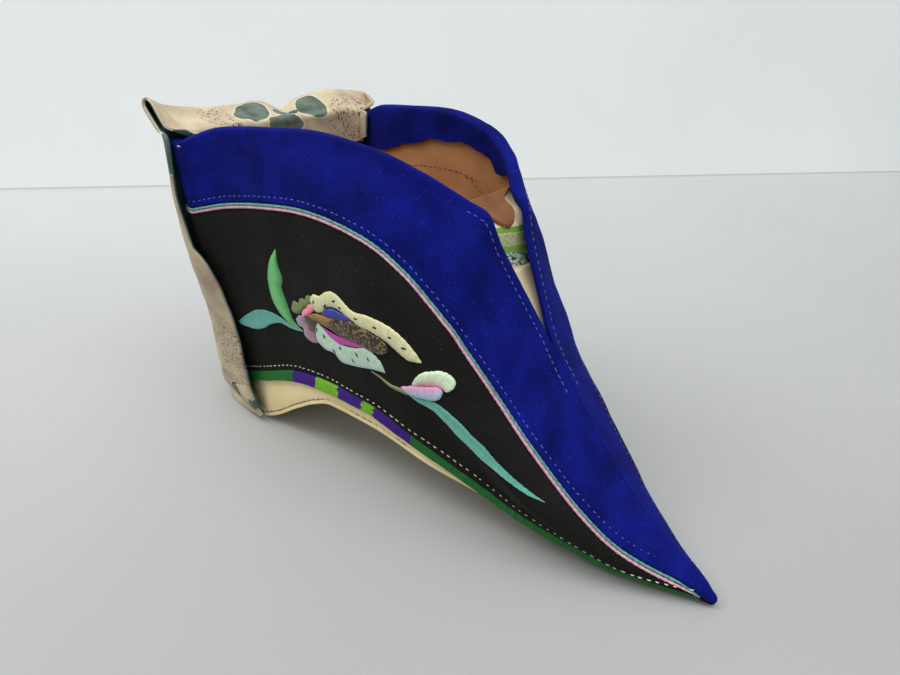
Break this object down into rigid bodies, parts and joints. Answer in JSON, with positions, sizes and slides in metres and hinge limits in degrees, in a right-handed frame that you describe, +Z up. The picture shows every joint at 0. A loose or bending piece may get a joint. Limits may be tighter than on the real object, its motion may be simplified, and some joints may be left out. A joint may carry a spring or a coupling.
{
  "type": "lotus shoe",
  "caption": "Cloth lotus shoe for a bound foot: high pointed upper, wide folded collar, corded seams, silk-wrapped edge and arched cream cloth sole with a small heel.",
  "frame": {"origin": "on the floor under the back edge of the shoe's side, at the middle of its width, on the flat spot of the heel", "axes": "+X from heel to toe, +Y to the shoe's left, +Z up"},
  "size_m": [0.1551, 0.0692, 0.0923],
  "materials": {
    "black_cloth": "fine black cloth with a soft sheen",
    "blue_cloth": "royal blue cotton twill, softly napped",
    "green_silk": "silk thread wrapped side by side",
    "cream_cloth": "coarse undyed cotton, matt",
    "brown_lining": "coarse brown cotton, matt",
    "printed_cloth": "beige printed cotton, matt",
    "pink_cord": "twisted cotton cord",
    "teal_cord": "twisted cotton cord"
  },
  "bodies": {
    "root": {"upper": "black_cloth", "collar_band": "blue_cloth", "edge_board": "green_silk", "heel_wedge": "cream_cloth", "outsole": "cream_cloth", "insole": "brown_lining", "tongue": "cream_cloth", "heel_band": "printed_cloth", "cord_pink_right": "pink_cord", "cord_pink_left": "pink_cord", "cord_teal_right": "teal_cord", "cord_teal_left": "teal_cord"}
  },
  "joints": []
}
